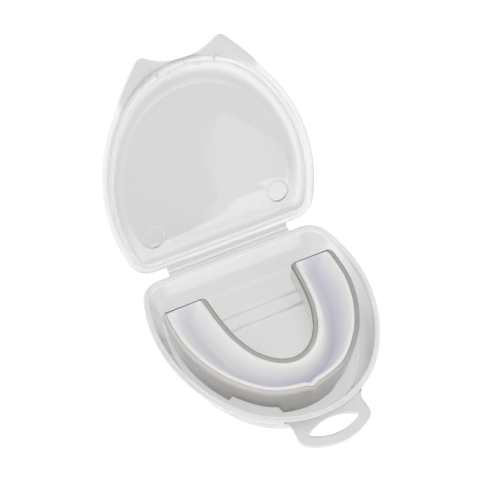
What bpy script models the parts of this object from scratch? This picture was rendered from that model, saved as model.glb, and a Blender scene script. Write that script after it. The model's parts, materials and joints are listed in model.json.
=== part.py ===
"""Mouthguard in its hinged, translucent case.

Frame: X along the hinge, -Y towards the carry loop, +Z up. The origin is the middle of the
underside, on the surface that the case stands on. Outlines are drawn as (x, v), where v is the
distance in front of the hinge axis. All driving dimensions are in millimetres.
"""
import bpy
import bmesh
import math
from mathutils import Vector

MM = 0.001

# Overall case
RIM_HEIGHT = 16.0        # hinge axis and parting plane above the table
HINGE_BACK = 38.0        # hinge axis behind the middle of the underside
OPEN_ANGLE = 118.0       # how far the lid stands open at rest
HALF_PARTING = 0.15      # half of the gap left between the closed rims
JOIN_GAP = 0.3           # gap between features of one moulding

# Rounded-D outline of the rims
BACK_EDGE = 1.7          # straight back edge, in front of the hinge axis
HALF_WIDTH = 41.8
WIDEST_V = 27.0          # where the outline is widest
FRONT_R = 36.5
FRONT_CENTRE_V = 42.0
CORNER_R = 9.0
CORNER_STEPS = 6
SIDE_STEPS = 7
FRONT_STEPS = 10

# Tray
FLOOR_T = 1.2
WALL_T = 1.2
RIM_INSET = 2.2          # inner edge of the tray's rim
FLANGE_T = 1.2
RIB_HALF_LENGTH = 21.0   # cross rib on the tray floor
RIB_V = (20.1, 25.4)
RIB_HEIGHT = 0.8

# Lid
LID_DEPTH = 7.0          # inside, from the parting plane to the roof
ROOF_T = 1.2
LID_INSET = 4.1          # inner face of the lid's wall at the rim
ROOF_FRONT_V = 65.0      # front edge of the flat roof
PLUG_INSET = 2.5         # outer face of the plug rib, inside the tray's wall
PLUG_T = 1.6
PLUG_DROP = 1.6
NOTCH_X = 11.0           # outer pair of the plug rib's three notches
NOTCH_W = 0.8
BUMP_X = 5.4
BUMP_LENGTH = 3.0
BUMP_T = 0.6

# Ears, the lid's two finger tabs
EAR_T = 1.2
EAR_TIP = (14.97, 77.64)
EAR_TIP_R = 3.2
EAR_BULGE = 0.6          # how far an ear's outer edge bows out
VALLEY_V = 76.5          # lowest point of the hollow between the ears
EAR_ROOT_ANGLE = 56.0    # where an ear leaves the rim's front arc
EAR_ROOT_T = 0.6         # width of the ear where it starts
EAR_INNER_X = 9.0

# Carry loop
LOOP_T = 1.4
LOOP_FRONT_V = 90.0
LOOP_FRONT_R = 22.1
LOOP_HALF_WIDTH = 13.9
LOOP_CORNER_R = 4.0
LOOP_FILLET_R = 5.0
SLOT_HALF_LENGTH = 9.3
SLOT_HALF_HEIGHT = 3.1
SLOT_V = 83.1
SLOT_TIP_R = 0.6

# Living hinge
HINGE_HALF_LENGTH = 25.3
FILM_R = 0.2
LEAF_T = 1.0

# Mouthguard, channel up; the arches are right halves from the arm's end to the front
OUTER_ARCH = [(35.6, 17.0), (35.6, 26.0), (34.6, 35.0), (31.0, 46.0), (24.4, 56.8), (14.2, 65.8), (0.0, 69.2)]
INNER_ARCH = [(17.6, 17.0), (17.2, 23.0), (16.5, 29.5), (14.9, 38.0), (11.4, 46.6), (6.2, 52.4), (0.0, 54.6)]
ARCH_STEPS = 4           # stations between two arch points
GUARD_BASE = 1.5         # underside of the bite pads above the table
PAD_T = 5.0
PAD_INNER_SHARE = 0.34   # the pads start this far across the arch
PAD_LOW_SHARE = 0.45     # and reach their full depth here
SHELL_T = 1.4
SHELL_FLOOR_T = 1.4
SHELL_DRAFT = 1.3        # each wall leans out by this much towards its top
LINER_GAP = 0.3
LINER_FLOOR_T = 1.2
ARM_TOP = 16.4           # top of the walls at the arms' ends
FRONT_RISE = 2.2         # how much higher the outer wall stands at the front
INNER_RISE = 1.4
MOLAR_PAD_END = 15       # the molar pads' last station, counted from the arm's end
FRONT_PAD_STATIONS = 3   # the front pad's reach on each side of the middle station


# ---------------------------------------------------------------- outlines

def arc(cx, cv, radius, start, end, steps):
    """Points on an arc; angles in degrees, 0 along +x and 90 along +v."""
    points = []
    for i in range(steps + 1):
        angle = math.radians(start + (end - start) * i / steps)
        points.append((cx + radius * math.cos(angle), cv + radius * math.sin(angle)))
    return points


def side_arc():
    """Radius and centre of the side arc, tangent to the front arc inside it."""
    rise = FRONT_CENTRE_V - WIDEST_V
    radius = (HALF_WIDTH ** 2 + rise ** 2 - FRONT_R ** 2) / (2 * (HALF_WIDTH - FRONT_R))
    return radius, HALF_WIDTH - radius


def half_outline(inset, front_angle=90.0):
    """Right half of the rounded D, from the front arc at front_angle round to the back edge."""
    side_r, side_x = side_arc()
    reach = side_r - CORNER_R
    drop = WIDEST_V - BACK_EDGE - CORNER_R
    corner_x = side_x + math.sqrt(reach ** 2 - drop ** 2)
    corner_v = BACK_EDGE + CORNER_R
    join_front = math.degrees(math.atan2(FRONT_CENTRE_V - WIDEST_V, -side_x))
    join_corner = math.degrees(math.atan2(corner_v - WIDEST_V, corner_x - side_x))
    points = arc(0.0, FRONT_CENTRE_V, FRONT_R - inset, front_angle, join_front, FRONT_STEPS)
    points += arc(side_x, WIDEST_V, side_r - inset, join_front, join_corner, SIDE_STEPS)[1:]
    points += arc(corner_x, corner_v, CORNER_R - inset, join_corner, -90.0, CORNER_STEPS)[1:]
    return points


def rim_outline(inset, back=None, front=None):
    """Closed rounded D, inset from the rim; back and front move those two edges."""
    right = half_outline(inset)
    low = BACK_EDGE + inset
    high = FRONT_CENTRE_V + FRONT_R - inset
    new_low = low if back is None else back
    new_high = high if front is None else front
    scale = (new_high - new_low) / (high - low)
    right = [(x, new_low + (v - low) * scale) for x, v in right]
    left = [(-x, v) for x, v in reversed(right[1:])]
    return right + left


def valley_radius():
    """Radius of the hollow between the ears, an arc tangent to both round ear tips."""
    tip_x, tip_v = EAR_TIP
    drop = tip_v - VALLEY_V
    return (tip_x ** 2 + drop ** 2 - EAR_TIP_R ** 2) / (2 * (drop + EAR_TIP_R))


def valley(x):
    """Front edge of the lid between its ears."""
    radius = valley_radius()
    return VALLEY_V + radius - math.sqrt(radius ** 2 - x ** 2)


def lid_outline(inset, back=None, front=None):
    """The rim's outline, held back at the front by the valley between the ears."""
    points = []
    for x, v in rim_outline(inset, back, front):
        limit = valley(x) - 0.5 * inset if abs(x) < EAR_TIP[0] else v
        points.append((x, min(v, limit)))
    return points


def smooth_curve(points, steps):
    """Catmull-Rom curve through the points of a right half, level where it meets its mirror image."""
    first = (2 * points[0][0] - points[1][0], 2 * points[0][1] - points[1][1])
    last = (-points[-2][0], points[-2][1])
    chain = [first] + points + [last]
    curve = []
    for i in range(1, len(chain) - 2):
        p0, p1, p2, p3 = [Vector(chain[i + k]) for k in (-1, 0, 1, 2)]
        for k in range(steps):
            t = k / steps
            bend = (2 * p0 - 5 * p1 + 4 * p2 - p3) * t * t + (3 * p1 - p0 - 3 * p2 + p3) * t ** 3
            curve.append(tuple((2 * p1 + (p2 - p0) * t + bend) * 0.5))
    curve.append(points[-1])
    return curve


# ---------------------------------------------------------------- solids

def make_material(name, colour, roughness, alpha=1.0):
    material = bpy.data.materials.new(name)
    material.use_nodes = True
    shader = material.node_tree.nodes["Principled BSDF"]
    shader.inputs["Base Color"].default_value = (*colour, 1.0)
    shader.inputs["Roughness"].default_value = roughness
    shader.inputs["Metallic"].default_value = 0.0
    shader.inputs["Alpha"].default_value = alpha
    return material


def finish(name, mesh_data, parent, material):
    """Closes a bmesh into a named, smooth-shaded object under its parent empty."""
    bmesh.ops.remove_doubles(mesh_data, verts=mesh_data.verts, dist=1e-6)
    bmesh.ops.recalc_face_normals(mesh_data, faces=mesh_data.faces)
    mesh = bpy.data.meshes.new(name)
    mesh_data.to_mesh(mesh)
    mesh_data.free()
    mesh.shade_smooth()
    mesh.set_sharp_from_angle(angle=math.radians(35))
    mesh.materials.append(material)
    obj = bpy.data.objects.new(name, mesh)
    bpy.context.collection.objects.link(obj)
    obj.parent = parent
    return obj


def place(x, v, z):
    """A point of an outline in its parent's frame, whose origin is on the hinge axis."""
    return Vector((x, -v, z)) * MM


def loft(name, rings, parent, material):
    """Joins rings of equal length, (points, z) each, and caps the first and the last."""
    bm = bmesh.new()
    loops = []
    for points, z in rings:
        loops.append([bm.verts.new(place(x, v, z)) for x, v in points])
    for low, high in zip(loops, loops[1:]):
        for i in range(len(low)):
            j = (i + 1) % len(low)
            bm.faces.new((low[i], low[j], high[j], high[i]))
    bm.faces.new(loops[0])
    bm.faces.new(reversed(loops[-1]))
    return finish(name, bm, parent, material)


def plate(name, outer, holes, z_low, z_high, parent, material):
    """A flat plate with through holes."""
    bm = bmesh.new()
    edges = []
    for outline in [outer] + holes:
        verts = [bm.verts.new(place(x, v, z_low)) for x, v in outline]
        for i in range(len(verts)):
            edges.append(bm.edges.new((verts[i], verts[(i + 1) % len(verts)])))
    filled = bmesh.ops.triangle_fill(bm, use_beauty=True, edges=edges)
    faces = [item for item in filled["geom"] if isinstance(item, bmesh.types.BMFace)]
    raised = bmesh.ops.extrude_face_region(bm, geom=faces, use_keep_orig=True)
    moved = [item for item in raised["geom"] if isinstance(item, bmesh.types.BMVert)]
    bmesh.ops.translate(bm, verts=moved, vec=(0.0, 0.0, (z_high - z_low) * MM))
    return finish(name, bm, parent, material)


def strip(name, outer, inner, z_low, z_high, parent, material):
    """A wall between two open paths of equal length."""
    bm = bmesh.new()
    sections = []
    for (xo, vo), (xi, vi) in zip(outer, inner):
        corners = [(xo, vo, z_low), (xo, vo, z_high), (xi, vi, z_high), (xi, vi, z_low)]
        sections.append([bm.verts.new(place(*corner)) for corner in corners])
    for here, there in zip(sections, sections[1:]):
        for i in range(4):
            j = (i + 1) % 4
            bm.faces.new((here[i], here[j], there[j], there[i]))
    bm.faces.new(sections[0])
    bm.faces.new(reversed(sections[-1]))
    return finish(name, bm, parent, material)


def rod(name, radius, half_length, sides, parent, material):
    """A thin round bead along the hinge axis."""
    bm = bmesh.new()
    ends = []
    for x in (-half_length, half_length):
        ring = []
        for i in range(sides):
            angle = 2 * math.pi * i / sides
            ring.append(bm.verts.new(place(x, radius * math.cos(angle), radius * math.sin(angle))))
        ends.append(ring)
    for i in range(sides):
        j = (i + 1) % sides
        bm.faces.new((ends[0][i], ends[0][j], ends[1][j], ends[1][i]))
    bm.faces.new(ends[0])
    bm.faces.new(reversed(ends[1]))
    return finish(name, bm, parent, material)


def box(name, x_range, v_range, z_range, parent, material):
    low_x, high_x = x_range
    low_v, high_v = v_range
    outline = [(low_x, low_v), (high_x, low_v), (high_x, high_v), (low_x, high_v)]
    return plate(name, outline, [], z_range[0], z_range[1], parent, material)


# ---------------------------------------------------------------- case, lower half

def build_tray(parent, material):
    """Open tub with a bead and a flange round its rim, drafted walls and a flat floor."""
    top = -HALF_PARTING
    under = -RIM_HEIGHT
    floor = under + FLOOR_T
    seat = top - 2.4                   # the wall stays upright where the lid plugs in
    rings = [
        (rim_outline(8.2), floor),
        (rim_outline(7.1), floor + 0.5),
        (rim_outline(6.3), floor + 1.6),
        (rim_outline(RIM_INSET + 0.2), seat),
        (rim_outline(RIM_INSET), top),
        (rim_outline(1.2), top),
        (rim_outline(1.0), top - 0.4),
        (rim_outline(0.0), top - 0.4),
        (rim_outline(0.0), top - 0.4 - FLANGE_T),
        (rim_outline(RIM_INSET - WALL_T), top - 0.5 - FLANGE_T),
        (rim_outline(6.3 - WALL_T), under + 2.4),
        (rim_outline(6.3 - 0.6), under + 0.8),
        (rim_outline(7.1), under),
    ]
    return loft("base_tray", rings, parent, material)


def build_carry_loop(parent, material):
    """Flat eye in front of the tray's rim, with a lens-shaped slot for a lanyard or a clip."""
    reach = FRONT_R + JOIN_GAP
    centre_v = LOOP_FRONT_V - LOOP_FRONT_R
    corner_x = LOOP_HALF_WIDTH - LOOP_CORNER_R
    corner_v = centre_v + math.sqrt((LOOP_FRONT_R - LOOP_CORNER_R) ** 2 - corner_x ** 2)
    corner_join = math.degrees(math.atan2(corner_v - centre_v, corner_x))
    fillet_x = LOOP_HALF_WIDTH + LOOP_FILLET_R - 0.3
    fillet_v = FRONT_CENTRE_V + math.sqrt((reach + LOOP_FILLET_R) ** 2 - fillet_x ** 2)
    root = math.degrees(math.atan2(fillet_v - FRONT_CENTRE_V, fillet_x))
    right = arc(0.0, centre_v, LOOP_FRONT_R, 90.0, corner_join, 7)
    right += arc(corner_x, corner_v, LOOP_CORNER_R, corner_join, 0.0, 5)[1:]
    right += arc(fillet_x, fillet_v, LOOP_FILLET_R, 180.0, 180.0 + root - 12.0, 5)
    right += arc(0.0, FRONT_CENTRE_V, reach, root + 2.0, 90.0, 6)
    outer = right + [(-x, v) for x, v in reversed(right[1:-1])]
    chord = SLOT_HALF_LENGTH - SLOT_TIP_R
    rise = SLOT_HALF_HEIGHT - SLOT_TIP_R
    slot_r = (chord ** 2 + rise ** 2) / (2 * rise)
    spread = math.degrees(math.asin(chord / slot_r))
    edge_r = slot_r + SLOT_TIP_R
    slot = arc(0.0, SLOT_V + rise - slot_r, edge_r, 90.0 - spread, 90.0 + spread, 12)
    slot += arc(-chord, SLOT_V, SLOT_TIP_R, 90.0 + spread, 270.0 - spread, 4)[1:-1]
    slot += arc(0.0, SLOT_V - rise + slot_r, edge_r, 270.0 - spread, 270.0 + spread, 12)
    slot += arc(chord, SLOT_V, SLOT_TIP_R, spread - 90.0, 90.0 - spread, 4)[1:-1]
    top = -HALF_PARTING - 0.2
    return plate("carry_loop", outer, [slot], top - LOOP_T, top, parent, material)


def build_tray_rib(parent, material):
    """Low cross rib on the tray floor, between the mouthguard's arms."""
    low = -RIM_HEIGHT + FLOOR_T + JOIN_GAP
    x_range = (-RIB_HALF_LENGTH, RIB_HALF_LENGTH)
    return box("tray_rib", x_range, RIB_V, (low, low + RIB_HEIGHT), parent, material)


def build_hinge_leaf(name, side, parent, material):
    """Strip between a rim's back edge and the hinge film; side is -1 below the parting plane."""
    v_range = (FILM_R + JOIN_GAP, BACK_EDGE - JOIN_GAP)
    z_range = sorted((side * HALF_PARTING, side * (HALF_PARTING + LEAF_T)))
    x_range = (-HINGE_HALF_LENGTH, HINGE_HALF_LENGTH)
    return box(name, x_range, v_range, z_range, parent, material)


# ---------------------------------------------------------------- case, lid (drawn closed)

def build_lid(parent, material):
    """Shallow domed lid with a flange; its front wall slopes to a flat roof."""
    rim = HALF_PARTING
    roof = LID_DEPTH
    inner_back = BACK_EDGE + LID_INSET
    rings = [
        (lid_outline(8.0, inner_back + 2.2, ROOF_FRONT_V), roof),
        (lid_outline(6.8, inner_back + 1.1, ROOF_FRONT_V + 1.8), roof - 0.5),
        (lid_outline(5.6, inner_back + 0.5, ROOF_FRONT_V + 4.2), roof - 1.8),
        (lid_outline(4.7, inner_back + 0.3, ROOF_FRONT_V + 7.2), roof - 3.9),
        (lid_outline(LID_INSET + 0.2, inner_back), rim + 1.2),
        (lid_outline(LID_INSET, inner_back), rim),
        (lid_outline(0.0), rim),
        (lid_outline(0.0), rim + FLANGE_T),
        (lid_outline(LID_INSET - WALL_T), rim + FLANGE_T + 0.1),
        (lid_outline(4.7 - WALL_T, inner_back - 0.9, ROOF_FRONT_V + 8.4), roof - 3.3),
        (lid_outline(5.6 - 0.8, inner_back - 0.6, ROOF_FRONT_V + 5.2), roof - 0.8),
        (lid_outline(6.4, inner_back + 0.2, ROOF_FRONT_V + 2.4), roof + ROOF_T - 0.3),
        (lid_outline(7.6, inner_back + 1.6, ROOF_FRONT_V), roof + ROOF_T),
    ]
    return loft("lid_shell", rings, parent, material)


def build_ear(name, mirror, parent, material):
    """Finger tab beside the valley: straight outer edge, round tip, hollow inner edge."""
    reach = FRONT_R + JOIN_GAP
    tip_x, tip_v = EAR_TIP
    root_angle = 90.0 - EAR_ROOT_ANGLE
    root = math.radians(root_angle)
    start_r = reach + EAR_ROOT_T
    start = (start_r * math.cos(root), FRONT_CENTRE_V + start_r * math.sin(root))
    run = Vector((tip_x - start[0], tip_v - start[1]))
    swing = math.degrees(math.atan2(run.y, run.x) - math.asin(EAR_TIP_R / run.length)) - 90.0
    valley_r = valley_radius()
    meet = math.degrees(math.atan2(VALLEY_V + valley_r - tip_v, -tip_x))
    tip = arc(tip_x, tip_v, EAR_TIP_R, swing, meet, 9)
    edge = Vector(tip[0]) - Vector(start)
    outwards = Vector((edge.y, -edge.x)).normalized() * EAR_BULGE
    outline = []
    for i in range(6):
        share = i / 6
        outline.append(tuple(Vector(start) + edge * share + outwards * math.sin(math.pi * share)))
    outline += tip
    join_x = valley_r * tip_x / (valley_r + EAR_TIP_R)
    for i in range(1, 6):
        x = join_x + (EAR_INNER_X - join_x) * i / 5
        outline.append((x, valley(x)))
    inner_end = math.degrees(math.acos(EAR_INNER_X / reach))
    outline += arc(0.0, FRONT_CENTRE_V, reach, inner_end, root_angle, 8)
    outline = [(mirror * x, v) for x, v in outline]
    return plate(name, outline, [], HALF_PARTING, HALF_PARTING + EAR_T, parent, material)


def front_path(inset, x_from, x_to, steps):
    """Front stretch of the lid's outline between two x positions."""
    points = []
    for i in range(steps + 1):
        x = x_from + (x_to - x_from) * i / steps
        v = FRONT_CENTRE_V + math.sqrt((FRONT_R - inset) ** 2 - x ** 2)
        points.append((x, min(v, valley(x) - 0.5 * inset)))
    return points


def build_plug_rib(name, mirror, parent, material):
    """Half of the rib that plugs into the tray, from an outer notch round to the back."""
    z_high = HALF_PARTING - JOIN_GAP
    z_low = z_high - PLUG_DROP
    start_x = NOTCH_X + NOTCH_W / 2
    paths = []
    for inset in (PLUG_INSET, PLUG_INSET + PLUG_T):
        angle = math.degrees(math.acos(start_x / (FRONT_R - inset)))
        points = half_outline(inset, angle)
        points.append((JOIN_GAP / 2, points[-1][1]))
        limited = [(x, min(v, valley(x) - 0.5 * inset) if x < EAR_TIP[0] else v) for x, v in points]
        paths.append([(mirror * x, v) for x, v in limited])
    return strip(name, paths[0], paths[1], z_low, z_high, parent, material)


def build_snap_tongue(name, mirror, parent, material):
    """Short springy length of the plug rib between two notches."""
    z_high = HALF_PARTING - JOIN_GAP
    x_from = mirror * NOTCH_W / 2
    x_to = mirror * (NOTCH_X - NOTCH_W / 2)
    outer = front_path(PLUG_INSET, x_from, x_to, 6)
    inner = front_path(PLUG_INSET + PLUG_T, x_from, x_to, 6)
    return strip(name, outer, inner, z_high - PLUG_DROP, z_high, parent, material)


def build_snap_bump(name, mirror, parent, material):
    """Small bar on the inner face of a snap tongue."""
    x_from = mirror * (BUMP_X - BUMP_LENGTH / 2)
    x_to = mirror * (BUMP_X + BUMP_LENGTH / 2)
    near = PLUG_INSET + PLUG_T + 2 * JOIN_GAP
    outer = front_path(near, x_from, x_to, 3)
    inner = front_path(near + 2 * BUMP_T, x_from, x_to, 3)
    z_low = HALF_PARTING - JOIN_GAP - PLUG_DROP
    return strip(name, outer, inner, z_low + 0.2, z_low + 0.2 + BUMP_T, parent, material)


# ---------------------------------------------------------------- mouthguard

def arch_stations():
    """Pairs of inner and outer arch points from the right arm's end to the left arm's end."""
    outer = smooth_curve(OUTER_ARCH, ARCH_STEPS)
    inner = smooth_curve(INNER_ARCH, ARCH_STEPS)
    right = list(zip(inner, outer))
    left = [((-xi, vi), (-xo, vo)) for (xi, vi), (xo, vo) in reversed(right[:-1])]
    return right + left


def wall_tops(index, count):
    """Heights of the inner and the outer wall at a station: both rise towards the front."""
    towards_front = math.sin(math.pi * index / (count - 1))
    return ARM_TOP + INNER_RISE * towards_front, ARM_TOP + FRONT_RISE * towards_front


def guard_section(width, inner_top, outer_top):
    """U section of the shell as (distance from the inner edge, height)."""
    low = GUARD_BASE + PAD_T + JOIN_GAP
    floor = low + SHELL_FLOOR_T
    wall = SHELL_T
    lean = SHELL_DRAFT
    return [
        (0.0, inner_top), (lean * 0.6, low + 1.2), (lean, low),
        (width - lean, low), (width - lean * 0.6, low + 1.2), (width, outer_top),
        (width - wall, outer_top), (width - wall - lean, floor + 0.8), (width - wall - lean - 0.8, floor),
        (wall + lean + 0.8, floor), (wall + lean, floor + 0.8), (wall, inner_top),
    ]


def liner_section(width, inner_top, outer_top):
    """Soft liner: it fills the shell's channel and leaves a rounded trough for the teeth."""
    floor = GUARD_BASE + PAD_T + JOIN_GAP + SHELL_FLOOR_T + LINER_GAP
    trough = floor + LINER_FLOOR_T
    side = SHELL_T + LINER_GAP
    lean = SHELL_DRAFT
    inner_rise = inner_top - trough
    outer_rise = outer_top - trough
    return [
        (side, inner_top), (side + lean, floor + 0.8), (side + lean + 0.8, floor),
        (width - side - lean - 0.8, floor), (width - side - lean, floor + 0.8), (width - side, outer_top),
        (width - side - 1.6, outer_top), (width - side - 2.6, trough + 0.7 * outer_rise),
        (width - side - 3.6, trough + 0.2 * outer_rise), (width * 0.58, trough),
        (width * 0.42, trough), (side + 3.6, trough + 0.2 * inner_rise),
        (side + 2.6, trough + 0.7 * inner_rise), (side + 1.6, inner_top),
    ]


def pad_section(width, inner_top, outer_top):
    """Bite pad under the outer part of the shell; the wall tops don't matter to it."""
    low = GUARD_BASE
    high = low + PAD_T
    lean = SHELL_DRAFT
    inner_foot = (PAD_INNER_SHARE + PAD_LOW_SHARE) / 2 * width
    return [(PAD_INNER_SHARE * width, high), (inner_foot, low + 0.9), (PAD_LOW_SHARE * width, low),
            (width - lean - 1.8, low), (width - lean - 0.9, low + 0.9), (width - lean, high)]


def sweep_arch(name, section, first, last, parent, material):
    """Sweeps a section round the arch between two stations and caps both ends."""
    stations = arch_stations()
    count = len(stations)
    bm = bmesh.new()
    sections = []
    for index in range(first, last + 1):
        inner, outer = stations[index]
        across = Vector(outer) - Vector(inner)
        width = across.length
        direction = across / width
        ring = []
        for offset, z in section(width, *wall_tops(index, count)):
            point = Vector(inner) + direction * offset
            ring.append(bm.verts.new(place(point.x, point.y, z - RIM_HEIGHT)))
        sections.append(ring)
    for here, there in zip(sections, sections[1:]):
        for i in range(len(here)):
            j = (i + 1) % len(here)
            bm.faces.new((here[i], here[j], there[j], there[i]))
    caps = [bm.faces.new(sections[0]), bm.faces.new(reversed(sections[-1]))]
    bmesh.ops.triangulate(bm, faces=caps, ngon_method="EAR_CLIP")
    return finish(name, bm, parent, material)


# ---------------------------------------------------------------- assembly

def make_empty(name, location, angle=0.0):
    empty = bpy.data.objects.new(name, None)
    empty.location = location
    empty.rotation_euler = (math.radians(angle), 0.0, 0.0)
    bpy.context.collection.objects.link(empty)
    return empty


def build():
    for obj in list(bpy.data.objects):
        bpy.data.objects.remove(obj, do_unlink=True)

    case_plastic = make_material("case_polypropylene", (0.86, 0.87, 0.87), 0.35, 0.45)
    clear_shell = make_material("guard_clear_shell", (0.56, 0.53, 0.50), 0.15, 0.7)
    white_liner = make_material("guard_white_liner", (0.92, 0.92, 0.95), 0.4)

    hinge_point = Vector((0.0, HINGE_BACK, RIM_HEIGHT)) * MM
    base_frame = make_empty("base_frame", hinge_point)
    lid_frame = make_empty("lid_frame", hinge_point, -OPEN_ANGLE)
    guard_frame = make_empty("guard_frame", hinge_point)

    build_tray(base_frame, case_plastic)
    build_carry_loop(base_frame, case_plastic)
    build_tray_rib(base_frame, case_plastic)
    build_hinge_leaf("hinge_leaf_base", -1, base_frame, case_plastic)
    rod("hinge_film", FILM_R, HINGE_HALF_LENGTH, 10, base_frame, case_plastic)

    build_lid(lid_frame, case_plastic)
    build_hinge_leaf("hinge_leaf_lid", 1, lid_frame, case_plastic)
    for side, mirror in (("left", -1), ("right", 1)):
        build_ear("lid_ear_" + side, mirror, lid_frame, case_plastic)
        build_plug_rib("plug_rib_" + side, mirror, lid_frame, case_plastic)
        build_snap_tongue("snap_tongue_" + side, mirror, lid_frame, case_plastic)
        build_snap_bump("snap_bump_" + side, mirror, lid_frame, case_plastic)

    last = len(arch_stations()) - 1
    middle = last // 2
    sweep_arch("guard_shell", guard_section, 0, last, guard_frame, clear_shell)
    sweep_arch("guard_liner", liner_section, 0, last, guard_frame, white_liner)
    sweep_arch("molar_pad_right", pad_section, 0, MOLAR_PAD_END, guard_frame, clear_shell)
    sweep_arch("molar_pad_left", pad_section, last - MOLAR_PAD_END, last, guard_frame, clear_shell)
    sweep_arch("front_pad", pad_section, middle - FRONT_PAD_STATIONS, middle + FRONT_PAD_STATIONS,
               guard_frame, clear_shell)


build()
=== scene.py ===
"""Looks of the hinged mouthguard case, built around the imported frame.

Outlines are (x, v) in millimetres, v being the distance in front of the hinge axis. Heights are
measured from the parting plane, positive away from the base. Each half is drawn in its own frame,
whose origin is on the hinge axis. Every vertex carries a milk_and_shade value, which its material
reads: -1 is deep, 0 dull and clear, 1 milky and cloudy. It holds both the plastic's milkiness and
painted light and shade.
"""
import json
import math

import bmesh
import bpy
from mathutils import Matrix, Vector
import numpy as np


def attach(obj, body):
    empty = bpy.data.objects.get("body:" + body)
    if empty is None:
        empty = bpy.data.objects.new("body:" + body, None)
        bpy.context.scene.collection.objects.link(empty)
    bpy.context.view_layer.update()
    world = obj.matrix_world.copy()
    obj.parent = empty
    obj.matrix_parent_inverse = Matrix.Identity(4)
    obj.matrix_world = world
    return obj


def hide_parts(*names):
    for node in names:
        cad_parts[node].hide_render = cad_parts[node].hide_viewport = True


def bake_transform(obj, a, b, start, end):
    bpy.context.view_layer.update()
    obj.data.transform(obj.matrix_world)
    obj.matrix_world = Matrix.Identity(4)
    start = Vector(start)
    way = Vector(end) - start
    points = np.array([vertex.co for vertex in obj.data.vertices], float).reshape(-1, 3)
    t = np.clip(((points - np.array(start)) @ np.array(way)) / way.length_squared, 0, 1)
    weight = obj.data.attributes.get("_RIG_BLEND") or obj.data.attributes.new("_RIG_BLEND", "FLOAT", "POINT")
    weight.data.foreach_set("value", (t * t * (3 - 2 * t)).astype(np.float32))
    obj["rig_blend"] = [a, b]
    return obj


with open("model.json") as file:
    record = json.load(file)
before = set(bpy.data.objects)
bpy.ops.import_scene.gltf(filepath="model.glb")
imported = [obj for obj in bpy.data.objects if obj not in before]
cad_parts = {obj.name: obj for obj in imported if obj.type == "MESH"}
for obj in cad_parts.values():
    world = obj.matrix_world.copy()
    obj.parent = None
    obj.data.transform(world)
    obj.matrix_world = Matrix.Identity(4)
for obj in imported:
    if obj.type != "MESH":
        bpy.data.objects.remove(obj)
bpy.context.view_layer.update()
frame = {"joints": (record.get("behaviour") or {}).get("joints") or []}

MM = 0.001
HINGE_JOINT = {joint["name"]: joint for joint in frame["joints"]}["lid_hinge"]
HINGE = Vector(HINGE_JOINT["pos_m"])
OPEN_ANGLE = -HINGE_JOINT["range_deg"][0]
BASE_FRAME = Matrix.Translation(HINGE)
LID_FRAME = BASE_FRAME @ Matrix.Rotation(math.radians(-OPEN_ANGLE), 4, "X")
TABLE = -HINGE.z / MM       # the table's height in the base's frame

# Camera, seen from the hinge: degrees and millimetres
CAMERA_AZIMUTH = -25.83
CAMERA_ELEVATION = 51.42
CAMERA_DISTANCE = 384.21
CAMERA_RIGHT = 4.400
CAMERA_UP = 3.421
CAMERA_LENS = 75.0

# Rounded-D outline of the rims, as on the frame
BACK_EDGE = 1.7
HALF_WIDTH = 41.8
WIDEST_V = 27.0
FRONT_R = 36.5
FRONT_CENTRE_V = 42.0
FRONT_CENTRE = Vector((0.0, FRONT_CENTRE_V))
CORNER_R = 9.0
EAR_TIP = Vector((14.97, 77.64))
EAR_TIP_R = 3.2
EAR_BULGE = 0.6
VALLEY_V = 76.5

# Lid
LID_RIM_INSET = 4.1
LID_BACK = BACK_EDGE + LID_RIM_INSET
LID_DEPTH = 7.0
LID_ROOF = 8.2
LID_FLOOR = (8.7, LID_BACK + 3.4, 63.5)     # inset, back edge and front edge of the floor
LID_CENTRE_V = 36.0
LID_MILK = -0.77            # the lid's floor is the greyest part of the case
FLANGE_FACE = 0.15          # height of the flange's face towards the tray

# Plug rib inside the lid's flange, with notches and snap bumps
RIB_R = FRONT_R - 3.0       # radius along its front arc
NOTCH_X = 11.0
NOTCH_HALF = 0.4
BUMP_X = 5.4
BUMP_HALF = 1.5
BUMP_REACH = 1.4
SOFT_EDGE = 0.07            # run of a notch's or bump's end face
LEAST_TURN = 0.05           # rays closer together than this many degrees are merged

# Marks on the lid's floor
EJECTOR_R = 4.2
PALE_BAR_X = 9.8
PALE_BAR_V = 42.4

# Tray, and the cross rib on its floor
TRAY_FLOOR = -14.8
UNDERSIDE = -16.0
TRAY_CENTRE_V = 38.0
FLOOR_MILK = -0.45
RIB_HALF_LENGTH = 21.0
RIB_V = (20.1, 25.4)
RIB_CORNER_R = 0.8

# Carry loop
LOOP_FRONT_V = 90.0
LOOP_FRONT_R = 22.1
LOOP_HALF_WIDTH = 13.9
LOOP_CORNER_R = 4.0
LOOP_FILLET_R = 5.0
LOOP_OVERLAP = 0.3          # how far the fillet starts inside the loop's side
LOOP_FILLET_STOP = 16.0     # degrees by which the fillet stops short of the flange
LOOP_ROOT_START = 2.2       # degrees from the fillet's touching point to the root's start
LOOP_SEAM = 0.04            # between the flange's edge and the root
LOOP_EDGE = 0.28            # roundness of the plate's edges
LOOP_TOP = -0.35
LOOP_T = 1.4
SLOT_HALF_LENGTH = 9.3
SLOT_HALF_HEIGHT = 3.1
SLOT_V = 83.1
SLOT_TIP_R = 0.6

# Hinge, and the paler band of the tray's wall below it
HINGE_HALF_LENGTH = 25.3
BAND_HALF_LENGTH = 28.5
BAND_FOOT = -6.8

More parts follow.
